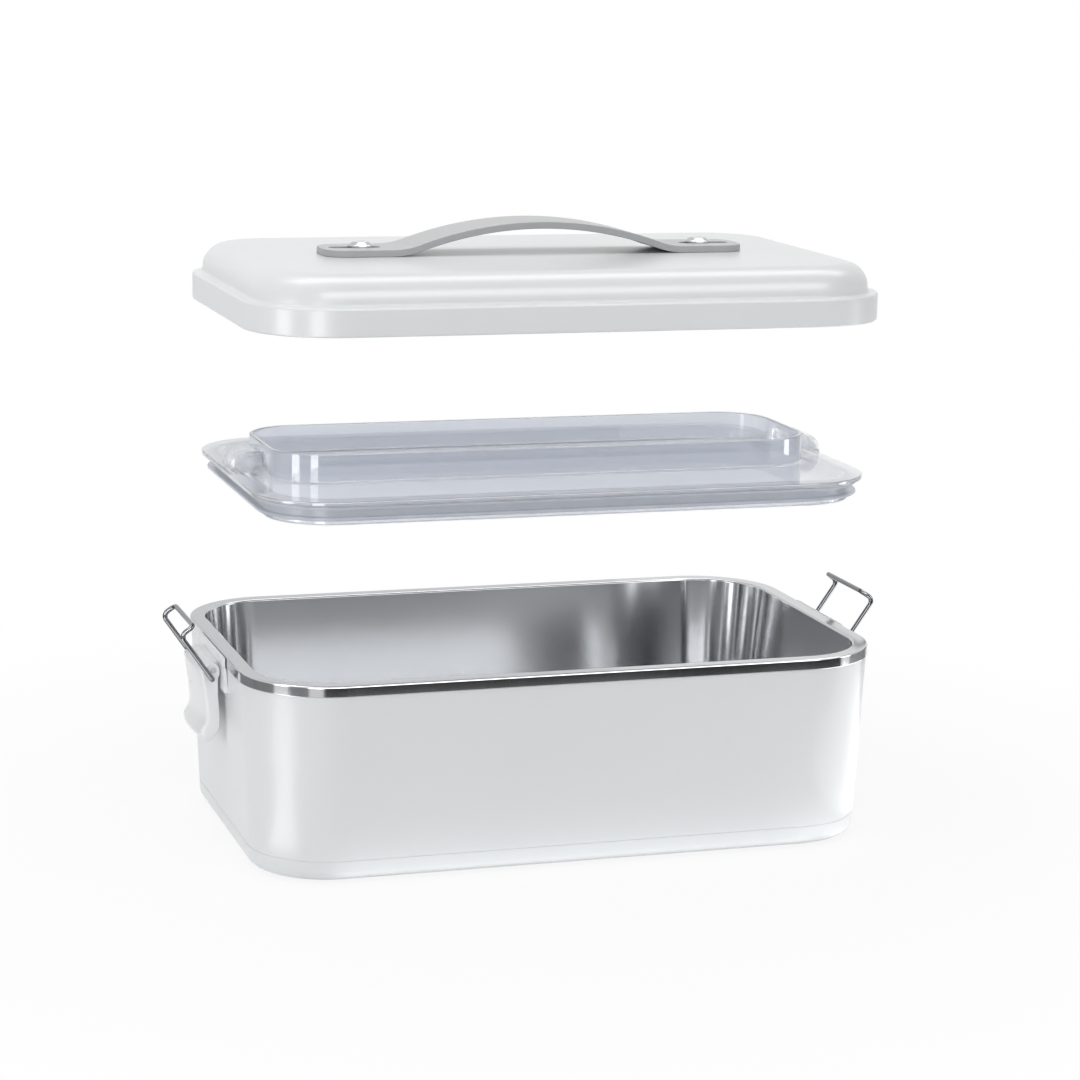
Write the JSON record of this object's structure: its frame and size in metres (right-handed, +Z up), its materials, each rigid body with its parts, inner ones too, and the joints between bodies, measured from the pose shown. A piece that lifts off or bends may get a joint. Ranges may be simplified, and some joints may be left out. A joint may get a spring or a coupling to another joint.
{
  "type": "electric lunch box",
  "caption": "Rounded-rectangular electric lunch box with a lift-out steel container, clear inner lid with tray, domed outer lid with strap handle, and wire latches.",
  "frame": {"origin": "on the surface it stands on, under the middle of the box", "axes": "+X along the box towards the right-hand latch, +Y towards the back with the power inlet, +Z up"},
  "size_m": [0.2668, 0.147, 0.2242],
  "materials": {
    "white_shell": "satin white moulded plastic",
    "white_latch": "satin white moulded plastic",
    "liner_plastic": "pale grey moulded plastic",
    "rubber_grey": "soft dark grey rubber",
    "screw_steel": "zinc plated",
    "cast_aluminium": "machined",
    "mica_board": "mica board",
    "spring_steel": "pressed steel",
    "black_plastic": "matt black",
    "fuse_ceramic": "ceramic",
    "lead_sleeve": "silicone sleeving",
    "contact_metal": "nickel plated",
    "lens_red": "tinted lens",
    "lamp_body": "clear tinted",
    "stainless_steel": "polished rim, satin inside",
    "clear_plastic": "clear, cool tint",
    "clear_silicone": "translucent",
    "strap_grey": "smooth light grey elastomer",
    "chrome_wire": "bright plated"
  },
  "bodies": {
    "housing": {"outer_housing": "white_shell", "base_cover": "white_shell", "rubber_feet": "rubber_grey", "base_screws": "screw_steel", "inner_liner": "liner_plastic", "heating_plate": "cast_aluminium", "heating_element": "mica_board", "element_clamp": "spring_steel", "thermostat": "black_plastic", "thermal_fuse": "fuse_ceramic", "internal_leads": "lead_sleeve", "power_inlet": "black_plastic", "inlet_contacts": "contact_metal", "power_light_lens": "lens_red", "power_light": "lamp_body", "latch_bracket_left": "white_latch", "latch_bracket_right": "white_latch", "lever_pins": "screw_steel"},
    "container": {"steel_container": "stainless_steel"},
    "inner_lid": {"clear_inner_lid": "clear_plastic", "inner_lid_gasket": "clear_silicone"},
    "outer_lid": {"outer_lid_shell": "white_shell", "strap_handle": "strap_grey", "handle_rivets": "chrome_wire", "rivet_washers": "screw_steel"},
    "latch_lever_left": {"lever_left": "white_latch"},
    "latch_lever_right": {"lever_right": "white_latch"},
    "latch_bail_left": {"bail_left": "chrome_wire"},
    "latch_bail_right": {"bail_right": "chrome_wire"}
  },
  "joints": [
    {"name": "container_lift", "type": "slide", "parent": "housing", "child": "container", "axis": [0, 0, 1], "range_m": [0, 0.075]},
    {"name": "inner_lid_lift", "type": "slide", "parent": "container", "child": "inner_lid", "axis": [0, 0, 1], "range_m": [-0.0615, 0]},
    {"name": "outer_lid_lift", "type": "slide", "parent": "inner_lid", "child": "outer_lid", "axis": [0, 0, 1], "range_m": [-0.0582, 0]},
    {"name": "lever_left_hinge", "type": "hinge", "parent": "housing", "child": "latch_lever_left", "pos_m": [-0.1215, 0, 0.0659], "axis": [0, 1, 0], "range_deg": [0, 65]},
    {"name": "lever_right_hinge", "type": "hinge", "parent": "housing", "child": "latch_lever_right", "pos_m": [0.1215, 0, 0.0659], "axis": [0, -1, 0], "range_deg": [0, 65]},
    {"name": "bail_left_hinge", "type": "hinge", "parent": "latch_lever_left", "child": "latch_bail_left", "pos_m": [-0.1219, 0, 0.0626], "axis": [0, -1, 0], "range_deg": [-35.06, 100]},
    {"name": "bail_right_hinge", "type": "hinge", "parent": "latch_lever_right", "child": "latch_bail_right", "pos_m": [0.1219, 0, 0.0626], "axis": [0, 1, 0], "range_deg": [-35.06, 100]}
  ]
}
